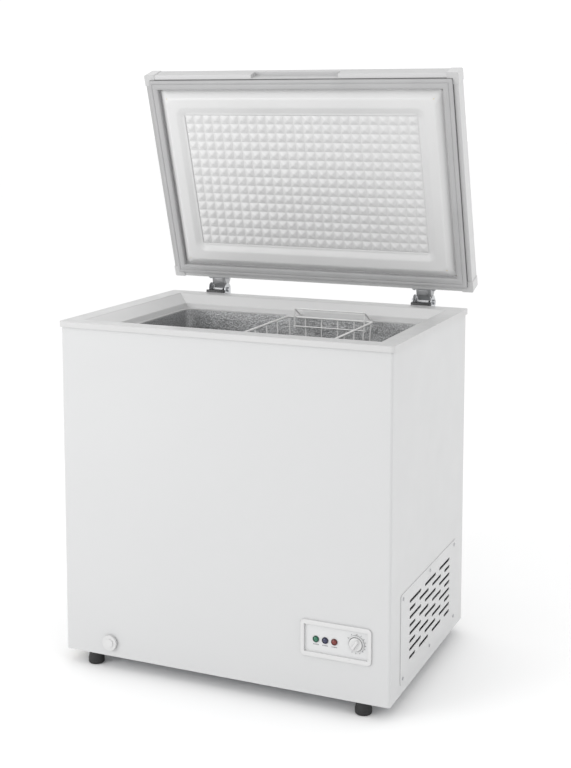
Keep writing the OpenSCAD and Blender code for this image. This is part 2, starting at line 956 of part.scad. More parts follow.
// Compression spring as a round wire swept along a helix
module hinge_spring(side) {
    sides = 6;
    per_turn = 12;
    rings = spring_turns * per_turn;
    wire = spring_wire / 2;
    low = seat_low + 4 + wire + 0.1;
    rise = spring_top - wire - 0.1 - low;
    points = [
        for (i = [0:rings]) for (j = [0:sides - 1])
            let (a = 360 * i / per_turn, b = 360 * j / sides, r = spring_r + wire * cos(b))
                [r * cos(a), r * sin(a), low + rise * i / rings + wire * sin(b)]
    ];
    walls = [
        for (i = [0:rings - 1]) for (j = [0:sides - 1])
            let (k = (j + 1) % sides, this = i * sides, next = this + sides) each [
                [this + j, this + k, next + k],
                [this + j, next + k, next + j]
            ]
    ];
    first = [for (j = [sides - 1:-1:0]) j];
    last = [for (j = [0:sides - 1]) rings * sides + j];
    color(zinc) in_cabinet()
        translate([side * hinge_x, spring_y, 0])
            polyhedron(points, concat(walls, [first], [last]));
}
module hinge_spring_left() {
    hinge_spring(-1);
}
module hinge_spring_right() {
    hinge_spring(1);
}

// ---- Lid

module lid_top_panel() {
    color(white) in_lid() upright(lid_w, lid_d, 3, rail_top, lid_h);
}

module lid_foam() {
    color(foam) in_lid() {
        block([-lid_w / 2 + rail_wall, -lid_rear + grip_d + 2, seat_z + 2],
            [lid_w / 2 - rail_wall, lid_rear - rail_wall - 3, rail_top - 2]);
        frame_ring(lid_w, lid_d, field_edge + 6)
            polygon([
                [plug_foot + 2.4, seat_z + 2],
                [plug_edge + 1, plug_face + liner_t],
                [band_edge - 0.6, plug_face + liner_t],
                [field_edge - 0.6, field_face + liner_t],
                [field_edge + 3, field_face + liner_t],
                [field_edge + 3, seat_z + 3],
                [plug_foot + 2.4, seat_z + 3]
            ]);
        block([-field_w / 2 + 2, -field_d / 2 + 2, field_face + liner_t],
            [field_w / 2 - 2, field_d / 2 - 2, seat_z + 3]);
    }
}

// Row of ridges across the field: a triangle for each pyramid
module ridges(length, across, count) {
    pitch = length / count;
    low = field_face + 0.5;
    translate([0, across / 2, 0]) rotate([90, 0, 0]) linear_extrude(across) polygon(concat(
        [for (i = [0:count - 1]) each [
            [-length / 2 + i * pitch, field_face],
            [-length / 2 + (i + 0.5) * pitch, field_face - pyramid_h]
        ]],
        [[length / 2, field_face], [length / 2, low], [-length / 2, low]]
    ));
}

module lid_liner() {
    color(plastic) in_lid() {
        frame_ring(lid_w, lid_d, field_edge + 6)
            polygon([
                [plug_foot - 2, seat_z],
                [plug_foot, seat_z],
                [plug_edge, plug_face],
                [band_edge, plug_face],
                [field_edge, field_face],
                [field_edge + 2, field_face],
                [field_edge + 2, field_face + liner_t],
                [field_edge - 0.6, field_face + liner_t],
                [band_edge - 0.6, plug_face + liner_t],
                [plug_edge + 1, plug_face + liner_t],
                [plug_foot + 1, seat_z + liner_t],
                [plug_foot - 2, seat_z + liner_t]
            ]);
        block([-field_w / 2, -field_d / 2, field_face],
            [field_w / 2, field_d / 2, field_face + liner_t]);
        intersection() {
            ridges(field_w, field_d, pyramid_cols);
            rotate(90) ridges(field_d, field_w, pyramid_rows);
        }
    }
}

module lid_gasket() {
    edge = rail_z + rail_wall;
    color(grey_seal) in_lid() frame_ring(lid_w, lid_d, edge + gasket_w + 5)
        polygon([
            [edge, seat_z],
            [edge, 2],
            [edge + 2, 0],
            [edge + gasket_w - 2, 0],
            [edge + gasket_w, 2],
            [edge + gasket_w, seat_z]
        ]);
}

// Plastic edge profile that joins the top panel, the gasket and the liner
module rail_section() {
    edge = rail_z + rail_wall;
    polygon([
        [0, rail_z],
        [edge, rail_z],
        [edge, seat_z],
        [plug_foot - 2, seat_z],
        [plug_foot - 2, seat_z + 2],
        [rail_z, seat_z + 2],
        [rail_z, edge],
        [rail_wall, edge],
        [rail_wall, rail_top - 2],
        [8, rail_top - 2],
        [8, rail_top],
        [0, rail_top]
    ]);
}

module lid_rail_front() {
    color(plastic) in_lid() difference() {
        union() {
            frame_side(lid_w, lid_rear, plug_foot + 3) rail_section();
            block([-grip_w / 2 - 2, -lid_rear, rail_z],
                [grip_w / 2 + 2, -lid_rear + grip_d + 2, grip_top + 2]);
        }
        block([-grip_w / 2, -lid_rear - past, rail_z - past],
            [grip_w / 2, -lid_rear + grip_d, grip_top]);
    }
}
module lid_rail_rear() {
    color(plastic) in_lid() difference() {
        rotate(180) frame_side(lid_w, lid_rear, plug_foot + 3) rail_section();
        for (side = [-1, 1]) translate([0, lid_rear - 4, 0]) arm_screws_at(side, 4.2);
    }
}
module lid_rail_left() {
    color(plastic) in_lid()
        rotate(270) frame_side(lid_d, lid_w / 2, plug_foot + 3) rail_section();
}
module lid_rail_right() {
    color(plastic) in_lid()
        rotate(90) frame_side(lid_d, lid_w / 2, plug_foot + 3) rail_section();
}

module lid_corner_caps() {
    edge = rail_z + rail_wall;
    color(plastic) in_lid() difference() {
        upright(lid_w + 2 * cap_t, lid_d + 2 * cap_t, 4, rail_z - cap_t, cap_top);
        block([-lid_w / 2, -lid_rear, rail_z], [lid_w / 2, lid_rear, lid_h]);
        block([-lid_w / 2 + edge, -lid_rear + edge, -past],
            [lid_w / 2 - edge, lid_rear - edge, rail_z + past]);
        block([-lid_w / 2 + 14, -lid_rear + 14, rail_top], [lid_w / 2 - 14, lid_rear - 14, 60]);
        block([-lid_w / 2 + cap_len, -lid_d, -past], [lid_w / 2 - cap_len, lid_d, 60]);
        block([-lid_w, -lid_rear + cap_len, -past], [lid_w, lid_rear - cap_len, 60]);
    }
}

// ---- Basket of welded wire

weld = 0.8;
ring_r = 9;
bead = 0.4;
near = 0.05;
hoop_over = 0.01;
hanger_wire = frame_wire - 1;
basket_low = basket_top - basket_h;
hoop_top = basket_top - frame_wire / 2 - near;
half_w = basket_w / 2;
half_d = basket_d / 2;

// Closed ring of bent wire
module basket_ring(z, inset, d) {
    x = half_w - inset - ring_r;
    y = half_d - inset - ring_r;
    for (side = [-1, 1]) {
        rod_x([-x, side * (y + ring_r), z], 2 * x, d);
        rod_y([side * (x + ring_r), -y, z], 2 * y, d);
    }
    for (turn = [0:90:270])
        translate([turn == 0 || turn == 270 ? x : -x, turn < 180 ? y : -y, z])
            rotate(turn) rotate_extrude(angle = 90) translate([ring_r, 0]) circle(d = d);
}

// Wire that goes down one wall, along the floor and up the other wall
module basket_hoop(top_a, low_a, low_b, top_b) {
    rod(top_a, low_a + (low_a - top_a) * hoop_over, thin_wire);
    rod(low_a, low_b, thin_wire - 0.2);
    rod(top_b, low_b + (low_b - top_b) * hoop_over, thin_wire);
}

// Raised loop that hooks over onto the rim's shelf
module basket_hanger(side) {
    y = side * (half_d - (frame_wire + hanger_wire) / 2 + weld);
    hook = side * hook_y;
    crest = side > 0 ? crest_rear : crest_front;
    for (x = [-hanger_w / 2, hanger_w / 2]) {
        rod_z([x, y, hanger_low], crest - hanger_low, hanger_wire);
        rod([x, y, crest], [x, hook, hook_z], hanger_wire);
        translate([x, y, crest]) sphere(d = hanger_wire + bead);
        translate([x, hook, hook_z]) sphere(d = frame_wire);
    }
    rod_x([-hanger_w / 2, y, crest], hanger_w, hanger_wire);
    rod_x([-hanger_w / 2 - 3, y - side * weld, hanger_low + 4], hanger_w + 6, thin_wire);
}

module basket_frame() {
    color(plastic) in_cabinet() translate([basket_x, 0, 0]) {
        basket_ring(basket_top, 0, frame_wire);
        for (side = [-1, 1]) basket_hanger(side);
    }
}

module basket_floor_ring() {
    off = (hanger_wire + thin_wire) / 2 + near;
    color(plastic) in_cabinet() translate([basket_x, 0, 0])
        basket_ring(basket_low + off, basket_taper + off + near, hanger_wire);
}

module basket_grid() {
    step_w = (basket_w - 10) / 5;
    step_d = basket_d / 5;
    under = basket_low - thin_wire + weld;
    color(plastic) in_cabinet() translate([basket_x, 0, 0]) {
        for (i = [-2.5:1:2.5]) {
            x = i * step_w;
            foot = x * (half_w - basket_taper) / half_w;
            basket_hoop([x, -half_d, hoop_top], [foot, basket_taper - half_d, basket_low],
                [foot, half_d - basket_taper, basket_low], [x, half_d, hoop_top]);
        }
        for (i = [-1.5:1:1.5]) {
            y = i * step_d;
            foot = y * (half_d - basket_taper) / half_d;
            basket_hoop([-half_w, y, hoop_top], [basket_taper - half_w, foot, under],
                [half_w - basket_taper, foot, under], [half_w, y, hoop_top]);
        }
    }
}

cabinet_shell();
rear_panel();
base_panel();
compressor_plate();
compartment_liner();
top_rim();
inner_liner();
cabinet_foam();
evaporator_coil();
condenser_coil();
vent_cover();
vent_screws();
compressor();
compressor_mounts();
compressor_bolts();
terminal_cover();
filter_drier();
discharge_pipe();
suction_pipe();
liquid_line();
capillary_tube();
thermostat_body();
thermostat_shaft();
thermostat_knob();
control_bezel();
control_plate();
lamp_green();
lamp_blue();
lamp_red();
drain_cap();
drain_outlet();
drain_tube();
drain_plug();
cord_gland();
feet();
foot_screws();
hinge_body_left();
hinge_body_right();
hinge_nut_plates();
hinge_body_screws();
hinge_pins();
hinge_plunger_left();
hinge_plunger_right();
hinge_spring_left();
hinge_spring_right();
hinge_arm_left();
hinge_arm_right();
hinge_arm_screws();
lid_top_panel();
lid_foam();
lid_liner();
lid_gasket();
lid_rail_front();
lid_rail_rear();
lid_rail_left();
lid_rail_right();
lid_corner_caps();
basket_frame();
basket_floor_ring();
basket_grid();
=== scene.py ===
import math

import bpy
import bmesh
from mathutils import Matrix, Vector


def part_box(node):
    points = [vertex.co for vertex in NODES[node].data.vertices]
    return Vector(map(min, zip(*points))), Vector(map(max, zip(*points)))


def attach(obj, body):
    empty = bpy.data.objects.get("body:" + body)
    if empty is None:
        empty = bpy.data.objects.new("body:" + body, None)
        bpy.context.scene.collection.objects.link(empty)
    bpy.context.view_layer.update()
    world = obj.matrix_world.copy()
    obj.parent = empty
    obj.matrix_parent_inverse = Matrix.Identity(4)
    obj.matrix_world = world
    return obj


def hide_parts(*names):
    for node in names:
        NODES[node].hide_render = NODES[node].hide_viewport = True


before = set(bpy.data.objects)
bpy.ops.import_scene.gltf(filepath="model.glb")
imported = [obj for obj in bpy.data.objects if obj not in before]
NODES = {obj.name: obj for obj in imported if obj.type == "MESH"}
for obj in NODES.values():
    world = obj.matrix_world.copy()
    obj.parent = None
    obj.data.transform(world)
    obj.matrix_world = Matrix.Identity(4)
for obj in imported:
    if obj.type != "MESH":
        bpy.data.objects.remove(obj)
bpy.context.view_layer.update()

# ---------------------------------------------------------------- places
# Lengths are in millimetres about the cabinet's middle until they are placed.
MM = 0.001
rim_lo, rim_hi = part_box("top_rim")
CY = (rim_lo.y + rim_hi.y) / 2              # the cabinet's middle, in metres
RIM_Z = rim_hi.z / MM                       # top of the rim
SHELF_DROP, RIM_SKIN = 31.0, 2.5            # the rim's inner shelf: how far down, how thick
TUB_INSET, TUB_R = 90.0, 25.0               # tub's wall from the rim's edge, its corner radius
FRONT = -540.0 / 2                          # face of the cabinet's front
OPEN = math.radians(73.0)                   # the lid's angle at rest
PIN_Y, PIN_UP, PIN_Z = 302.6, 4.6, 802.0    # hinge pin: depth, over the closed lid's seal, height
HINGE_X = 278.0                             # middle of either hinge
LID_W, LID_D = 804.0, 542.0
LID_TURN = Matrix.Rotation(-OPEN, 4, "X")


def cab(x, y, z):
    """A point given about the cabinet's middle, in the row frame."""
    return Vector((x * MM, y * MM + CY, z * MM))


def lid(x, y, z):
    """A point given on the closed lid, over its sealing plane, with the lid standing open."""
    v = LID_TURN @ Vector((x, y - PIN_Y, z - PIN_UP))
    return cab(v.x, v.y + PIN_Y, v.z + PIN_Z)


# ---------------------------------------------------------------- materials
def new_material(name):
    """An empty material with one Principled shader."""
    m = bpy.data.materials.new(name)
    m.use_nodes = True
    nt = m.node_tree
    nt.nodes.clear()
    out = nt.nodes.new("ShaderNodeOutputMaterial")
    bsdf = nt.nodes.new("ShaderNodeBsdfPrincipled")
    nt.links.new(bsdf.outputs["BSDF"], out.inputs["Surface"])
    return m, nt, bsdf


def coords(nt, stretch=(1, 1, 1)):
    """The piece's own coordinates, stretched along the axes."""
    tc = nt.nodes.new("ShaderNodeTexCoord")
    mp = nt.nodes.new("ShaderNodeMapping")
    mp.inputs["Scale"].default_value = stretch
    nt.links.new(tc.outputs["Object"], mp.inputs["Vector"])
    return mp.outputs["Vector"]


def noise(nt, vec, scale, detail=3.0, rough=0.5):
    """Cloudy pattern from 0 to 1, with scale cells to the metre."""
    n = nt.nodes.new("ShaderNodeTexNoise")
    n.inputs["Scale"].default_value = scale
    n.inputs["Detail"].default_value = detail
    n.inputs["Roughness"].default_value = rough
    nt.links.new(vec, n.inputs["Vector"])
    return n.outputs["Fac"]


def spread(nt, fac, low, high, from_low=0.3, from_high=0.7):
    """Maps a value onto the range low to high."""
    r = nt.nodes.new("ShaderNodeMapRange")
    r.inputs["From Min"].default_value = from_low
    r.inputs["From Max"].default_value = from_high
    r.inputs["To Min"].default_value = low
    r.inputs["To Max"].default_value = high
    nt.links.new(fac, r.inputs["Value"])
    return r.outputs["Result"]


def tint(nt, fac, a, b):
    """Mixes two colours by a value."""
    m = nt.nodes.new("ShaderNodeMix")
    m.data_type = "RGBA"
    m.inputs["A"].default_value = (*a, 1)
    m.inputs["B"].default_value = (*b, 1)
    nt.links.new(fac, m.inputs["Factor"])
    return m.outputs["Result"]


def bump(nt, height, strength, distance, normal=None):
    """Relief from a height pattern, on top of an earlier relief where one is given."""
    b = nt.nodes.new("ShaderNodeBump")
    b.inputs["Strength"].default_value = strength
    b.inputs["Distance"].default_value = distance
    nt.links.new(height, b.inputs["Height"])
    if normal:
        nt.links.new(normal, b.inputs["Normal"])
    return b.outputs["Normal"]


def shade(c, k):
    """A colour made lighter or darker."""
    return tuple(min(1.0, v * k) for v in c)


def surface(name, colour, rough=(0.3, 0.4), grain=900.0, depth=0.00002, strength=0.25,
            vary=0.03, patch=6.0, coat=0.0, coat_rough=0.1, stretch=(1, 1, 1), sheen=0.0):
    """A moulded or painted surface: fine grain, uneven gloss and a slight change of tone."""
    m, nt, b = new_material(name)
    vec = coords(nt)
    fine = coords(nt, stretch)
    tone = spread(nt, noise(nt, vec, patch), 0.0, 1.0)
    pale, deep = shade(colour, 1 + vary), shade(colour, 1 - vary)
    nt.links.new(tint(nt, tone, deep, pale), b.inputs["Base Color"])
    nt.links.new(spread(nt, noise(nt, vec, patch * 9, 4.0), *rough), b.inputs["Roughness"])
    nt.links.new(bump(nt, noise(nt, fine, grain), strength, depth), b.inputs["Normal"])
    b.inputs["Coat Weight"].default_value = coat
    b.inputs["Coat Roughness"].default_value = coat_rough
    b.inputs["Sheen Weight"].default_value = sheen
    return m


def stucco(name, colour):
    """Embossed aluminium sheet: a net of small raised cells pressed into bright metal."""
    m, nt, b = new_material(name)
    vec = coords(nt)
    v = nt.nodes.new("ShaderNodeTexVoronoi")
    v.feature = "SMOOTH_F1"
    v.inputs["Scale"].default_value = 300.0
    v.inputs["Smoothness"].default_value = 0.6
    v.inputs["Randomness"].default_value = 1.0
    nt.links.new(vec, v.inputs["Vector"])
    cell = v.outputs["Distance"]
    fine = noise(nt, vec, 900.0)
    first = bump(nt, cell, 0.75, 0.0008)
    nt.links.new(bump(nt, fine, 0.25, 0.0001, first), b.inputs["Normal"])
    # painted highlight and shade: each cell of the relief is paler at its middle and darker towards
    # its edges
    tone = spread(nt, cell, 0.0, 1.0, 0.1, 0.7)
    nt.links.new(tint(nt, tone, shade(colour, 1.15), shade(colour, 0.72)), b.inputs["Base Color"])
    nt.links.new(spread(nt, noise(nt, vec, 60.0), 0.36, 0.50), b.inputs["Roughness"])
    b.inputs["Metallic"].default_value = 1.0
    return m


def brushed(name, colour, stretch=(3, 400, 400), rough=(0.25, 0.4)):
    """Plated or drawn metal with fine lines along its length and a cloudy gloss."""
    m, nt, b = new_material(name)
    vec = coords(nt, stretch)
    lines = noise(nt, vec, 6.0, 4.0, 0.7)
    cloud = noise(nt, coords(nt), 55.0)
    tone = spread(nt, cloud, 0, 1)
    nt.links.new(tint(nt, tone, shade(colour, 0.88), shade(colour, 1.08)), b.inputs["Base Color"])
    nt.links.new(spread(nt, cloud, *rough), b.inputs["Roughness"])
    nt.links.new(bump(nt, lines, 0.12, 0.00005), b.inputs["Normal"])
    b.inputs["Metallic"].default_value = 1.0
    return m


def multiply_base(material, factor):
    """Multiplies a surface's colour by a grey value that its own nodes work out."""
    nt = material.node_tree
    base = next(n for n in nt.nodes if n.type == "BSDF_PRINCIPLED").inputs["Base Color"]
    m = nt.nodes.new("ShaderNodeMix")
    m.data_type = "RGBA"
    m.blend_type = "MULTIPLY"
    m.inputs["Factor"].default_value = 1.0
    nt.links.new(base.links[0].from_socket, m.inputs["A"])
    nt.links.new(factor, m.inputs["B"])
    nt.links.new(m.outputs["Result"], base)
    return material


def paint_shading_under_plane(material, point, normal, half, below):
    """Paints shading on the part of a surface under a plane: a tone of its own, multiplied into its
    colour.
    """
    nt = material.node_tree
    tc = nt.nodes.new("ShaderNodeTexCoord")
    dot = nt.nodes.new("ShaderNodeVectorMath")
    dot.operation = "DOT_PRODUCT"
    nt.links.new(tc.outputs["Object"], dot.inputs[0])
    dot.inputs[1].default_value = normal
    at = point.dot(normal)
    tone = spread(nt, dot.outputs["Value"], below, 1.0, at - half * MM, at + half * MM)
    return multiply_base(material, tone)


def paint_shading_inside_rect(material, half_x, half_y, inside, outside):
    """Paints shading by place: a surface gets one tone inside a rectangle seen from above, and another
    outside it.
    """
    nt = material.node_tree
    tc = nt.nodes.new("ShaderNodeTexCoord")
    xyz = nt.nodes.new("ShaderNodeSeparateXYZ")
    nt.links.new(tc.outputs["Object"], xyz.inputs["Vector"])
    away = []
    for axis, middle, half in (("X", 0.0, half_x), ("Y", CY, half_y)):
        move = nt.nodes.new("ShaderNodeMath")
        move.operation = "SUBTRACT"
        move.inputs[1].default_value = middle
        size = nt.nodes.new("ShaderNodeMath")
        size.operation = "ABSOLUTE"
        past = nt.nodes.new("ShaderNodeMath")
        past.operation = "SUBTRACT"
        past.inputs[1].default_value = half * MM
        nt.links.new(xyz.outputs[axis], move.inputs[0])
        nt.links.new(move.outputs[0], size.inputs[0])
        nt.links.new(size.outputs[0], past.inputs[0])
        away.append(past.outputs[0])
    most = nt.nodes.new("ShaderNodeMath")
    most.operation = "MAXIMUM"
    nt.links.new(away[0], most.inputs[0])
    nt.links.new(away[1], most.inputs[1])
    return multiply_base(material, spread(nt, most.outputs[0], inside, outside, -1.5 * MM, 1.5 * MM))


def rim_surface():
    """Rim: painted shade from 20 mm under its top down, in the recess; painted light from its ledge
    inwards, and painted shade on the ledges and skirt outside it.
    """
    m = surface("white_rim_plastic_painted_shading", (0.56, 0.56, 0.56), (0.28, 0.38), grain=600, depth=0.00002,
                strength=0.06, vary=0.02, patch=4.0)
    # painted shade: the rim is darker from 20 mm under its top down
    paint_shading_under_plane(m, cab(0, 0, RIM_Z - 20), Vector((0, 0, 1)), 1.5, 0.80)
    # painted light inside the opening, painted shade on the ledges and skirt outside it
    return paint_shading_inside_rect(m, 354.0, 230.0, 1.10, 0.94)


def rail_surface(name, colour, under):
    """Lid rail: its underside, beside the gasket, has a tone of its own, which is painted shading."""
    m = surface(name, (colour, colour, colour * 1.004), (0.32, 0.42), grain=500, depth=0.00002,
                strength=0.08, vary=0.02, patch=5.0, stretch=(0.15, 1, 1))
    up = (lid(0, 0, 100) - lid(0, 0, 0)).normalized()
    # painted shading on the rail's underside, under a plane across the lid
    return paint_shading_under_plane(m, lid(0, 0, 11), up, 0.5, under)


# Every look by its short name
M = {
    "paint": surface("white_paint", (0.548, 0.551, 0.554), (0.28, 0.36), grain=420, depth=0.00002,
                     strength=0.06, vary=0.010, patch=1.6, coat=0.2, coat_rough=0.15),
    "gloss": surface("white_gloss_plastic", (0.59, 0.59, 0.59), (0.26, 0.36), grain=600,
                     depth=0.00002, strength=0.06, vary=0.015, patch=4.0, coat=0.1, coat_rough=0.12),
    "rim": rim_surface(),
    "liner": surface("vacuum_formed_liner", (0.628, 0.628, 0.628), (0.30, 0.42), grain=600,
                     depth=0.00003, strength=0.1, vary=0.02, patch=5.0),
    # painted shade on the rails' undersides
    "rail": rail_surface("white_rail_plastic_painted_shade", 0.57, 0.86),
    # painted shade, deeper, on the left rail's underside
    "rail_left": rail_surface("white_left_rail_painted_shade", 0.57, 0.70),
    # painted shade: a darker copy of the rail plastic, with painted light on its underside
    "rail_front": rail_surface("white_front_rail_painted_shading", 0.49, 1.13),
    "zinc_satin": brushed("zinc_satin", (0.50, 0.505, 0.515), rough=(0.46, 0.58)),
    "satin": surface("white_satin_plastic", (0.58, 0.58, 0.58), (0.42, 0.55), grain=1400,
                     depth=0.00003, strength=0.15, vary=0.02, patch=10.0),
    "plate": surface("control_plate_plastic", (0.60, 0.603, 0.606), (0.38, 0.48), grain=1500,
                     depth=0.00002, strength=0.12, vary=0.015, patch=14.0),
    "seal": surface("grey_gasket", (0.39, 0.39, 0.393), (0.50, 0.62), grain=1100, depth=0.00004,
                    strength=0.2, vary=0.04, patch=12.0, sheen=0.1),
    "gap": surface("grey_shadow_gap", (0.17, 0.17, 0.172), (0.6, 0.7), grain=900, depth=0.00002,
                   strength=0.1, vary=0.1, patch=30.0),
    "rubber": surface("black_rubber", (0.014, 0.014, 0.015), (0.48, 0.66), grain=1300,
                      depth=0.00006, strength=0.3, vary=0.25, patch=60.0),
    "zinc": brushed("zinc_plate", (0.55, 0.56, 0.575), rough=(0.26, 0.38)),
    "sheet": brushed("galvanised_sheet", (0.46, 0.47, 0.49), stretch=(30, 30, 30), rough=(0.34, 0.52)),
    "stucco": stucco("stucco_aluminium", (0.63, 0.635, 0.642)),
    "tube": brushed("aluminium_tube", (0.60, 0.61, 0.62), rough=(0.28, 0.40)),
    "black": surface("black_enamel", (0.012, 0.012, 0.013), (0.30, 0.45), grain=500, depth=0.00005,
                     strength=0.4, vary=0.2, patch=25.0, coat=0.3),
    "plunger": surface("dark_nylon_and_painted_shadow", (0.020, 0.020, 0.022), (0.34, 0.48), grain=900, depth=0.00004,
                       strength=0.2, vary=0.15, patch=40.0),
    "copper": brushed("copper_pipe", (0.58, 0.28, 0.17), rough=(0.28, 0.45)),
    "foam": surface("polyurethane_foam", (0.60, 0.50, 0.27), (0.8, 0.95), grain=260, depth=0.0006,
                    strength=0.8, vary=0.08, patch=20.0),
    "wire": surface("white_wire_coating", (0.70, 0.70, 0.695), (0.26, 0.36), grain=500,
                    depth=0.00004, strength=0.2, vary=0.03, patch=30.0, coat=0.2),
    "green": surface("green_lens", (0.009, 0.14, 0.074), (0.14, 0.22), grain=800, depth=0.00002,
                     strength=0.08, vary=0.15, patch=120.0, coat=0.5, coat_rough=0.06),
    "blue": surface("blue_lens", (0.012, 0.016, 0.060), (0.14, 0.22), grain=800, depth=0.00002,
                    strength=0.08, vary=0.15, patch=120.0, coat=0.5, coat_rough=0.06),
    "red": surface("red_lens", (0.155, 0.015, 0.009), (0.14, 0.22), grain=800, depth=0.00002,
                   strength=0.08, vary=0.15, patch=120.0, coat=0.5, coat_rough=0.06),
    "green_rim": surface("green_lamp_rim", (0.004, 0.050, 0.030), (0.2, 0.3), grain=800,
                         depth=0.00002, strength=0.08, vary=0.15, patch=120.0),
    "blue_rim": surface("blue_lamp_rim", (0.006, 0.007, 0.026), (0.2, 0.3), grain=800,
                        depth=0.00002, strength=0.08, vary=0.15, patch=120.0),
    "red_rim": surface("red_lamp_rim", (0.085, 0.009, 0.006), (0.2, 0.3), grain=800,
                       depth=0.00002, strength=0.08, vary=0.15, patch=120.0),
    "ink": surface("grey_ink", (0.10, 0.10, 0.11), (0.5, 0.6), grain=900, depth=0.00001,
                   strength=0.1, vary=0.1, patch=80.0),
}

# ---------------------------------------------------------------- shapes
def make(name, verts, faces, mat, body, smooth=True):
    """A mesh piece with one material that rides on a body."""
    me = bpy.data.meshes.new(name)
    me.from_pydata([tuple(v) for v in verts], [], faces)
    me.validate()
    bm = bmesh.new()
    bm.from_mesh(me)
    bmesh.ops.recalc_face_normals(bm, faces=bm.faces)
    bm.to_mesh(me)
    bm.free()
    for p in me.polygons:
        p.use_smooth = smooth
    o = bpy.data.objects.new(name, me)
    bpy.context.scene.collection.objects.link(o)
    me.materials.append(M[mat])
    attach(o, body)
    return o


def edges_soft(o, width, segments):
    """Rounds an object's sharp edges and evens out its shading."""
    b = o.modifiers.new("round", "BEVEL")
    b.width = width * MM
    b.segments = segments
    b.limit_method = "ANGLE"
    b.angle_limit = math.radians(28)
    b.use_clamp_overlap = True
    b.harden_normals = False
    b.miter_outer = "MITER_ARC"
    shade_even(o)


def shade_even(o):
    """Large faces settle the shading at an edge that they share with small ones."""
    w = o.modifiers.new("even", "WEIGHTED_NORMAL")
    w.mode = "FACE_AREA"
    w.weight = 80


def split_edges(o, degrees):
    """Keeps edges sharper than an angle crisp."""
    s = o.modifiers.new("split", "EDGE_SPLIT")
    s.split_angle = math.radians(degrees)


def dress(node, mat, round_mm=0.0, segments=2):
    """A carried-over CAD piece: its material, and rounded edges where it is seen closely."""
    o = NODES[node]
    o.data.materials.clear()
    o.data.materials.append(M[mat])
    for p in o.data.polygons:
        p.use_smooth = True
        p.material_index = 0
    if o.data.has_custom_normals:
        bpy.context.view_layer.objects.active = o
        bpy.ops.mesh.customdata_custom_splitnormals_clear()
    weld = o.modifiers.new("weld", "WELD")
    weld.merge_threshold = 0.000002
    if round_mm:
        edges_soft(o, round_mm, segments)
    else:
        split_edges(o, 30)
        shade_even(o)


def ring_xy(w, d, r, n):
    """Points round a rectangle with round corners, anticlockwise from the lower right."""
    r = max(r, 0.05)
    out = []
    for cx, cy, a0 in ((w / 2 - r, r - d / 2, -90), (w / 2 - r, d / 2 - r, 0),
                       (r - w / 2, d / 2 - r, 90), (r - w / 2, r - d / 2, 180)):
        for i in range(n + 1):
            a = math.radians(a0 + 90 * i / n)
            out.append((cx + r * math.cos(a), cy + r * math.sin(a)))
    return out


def loft(rings, closed=False, capped=False):
    """Quads between rings that have the same number of points; closed joins the last to the first."""
    n = len(rings[0])
    verts = [p for ring in rings for p in ring]
    faces = []
    count = len(rings)
    for i in range(count if closed else count - 1):
        a, b = i * n, ((i + 1) % count) * n
        for j in range(n):
            k = (j + 1) % n
            faces.append((a + j, a + k, b + k, b + j))
    if capped:
        faces.append(tuple(range(n))[::-1])
        faces.append(tuple((count - 1) * n + j for j in range(n)))
    return verts, faces


def lid_ring(inset, z, r, n):
    """Round-cornered rectangle on the lid, at an inset from its edge and over the sealing plane."""
    return [lid(x, y, z) for x, y in ring_xy(LID_W - 2 * inset, LID_D - 2 * inset, r, n)]


# ---------------------------------------------------------------- carried-over pieces
dress("cabinet_shell", "paint")
dress("rear_panel", "paint")
dress("vent_cover", "paint")
dress("lid_top_panel", "paint", 0.6, 2)
dress("base_panel", "sheet")
dress("compressor_plate", "sheet")
dress("compartment_liner", "sheet")
dress("hinge_nut_plates", "sheet")
dress("top_rim", "rim", 1.2, 3)
dress("inner_liner", "stucco")
dress("cabinet_foam", "foam")
dress("lid_foam", "foam")
dress("evaporator_coil", "tube")
dress("condenser_coil", "black")
dress("vent_screws", "zinc", 0.3, 2)
dress("compressor", "black")
dress("compressor_mounts", "rubber")
dress("compressor_bolts", "zinc")
dress("terminal_cover", "black")
for pipe in ("filter_drier", "discharge_pipe", "suction_pipe", "liquid_line", "capillary_tube"):
    dress(pipe, "copper")
dress("thermostat_body", "satin")
dress("thermostat_shaft", "zinc")
dress("thermostat_knob", "gloss", 0.6, 3)
dress("control_bezel", "gloss", 1.2, 3)
dress("control_plate", "plate", 0.2, 1)
dress("lamp_green", "green", 0.5, 3)
dress("lamp_blue", "blue", 0.5, 3)
dress("lamp_red", "red", 0.5, 3)
dress("drain_cap", "gloss", 1.0, 3)
dress("drain_outlet", "satin", 0.4, 2)
dress("drain_tube", "satin")
dress("drain_plug", "rubber", 0.4, 2)
dress("cord_gland", "rubber", 0.6, 2)
dress("feet", "rubber", 0.8, 2)
dress("foot_screws", "zinc", 0.4, 2)
for side in ("left", "right"):
    dress("hinge_body_" + side, "zinc", 0.4, 2)
    dress("hinge_arm_" + side, "zinc_satin", 0.3, 2)
    dress("hinge_plunger_" + side, "plunger", 0.8, 2)
    dress("hinge_spring_" + side, "zinc")
    dress("lid_rail_" + side, "rail_left" if side == "left" else "rail", 0.8, 3)
dress("hinge_body_screws", "zinc", 0.4, 2)
dress("hinge_arm_screws", "zinc", 0.4, 2)
dress("hinge_pins", "zinc", 0.5, 2)
dress("lid_rail_front", "rail_front", 0.8, 3)
dress("lid_rail_rear", "rail", 0.8, 3)
dress("lid_corner_caps", "rail", 0.9, 3)
dress("basket_frame", "wire")
dress("basket_floor_ring", "wire")
dress("basket_grid", "wire")


# ---------------------------------------------------------------- lid liner
COLS, ROWS = 25, 15             # pyramids across and down the lid
FIELD_INSET, FIELD_Z = 99.5, 3.0    # their field: from the lid's edge, over the sealing plane
TALL = 4.6                      # height of a pyramid


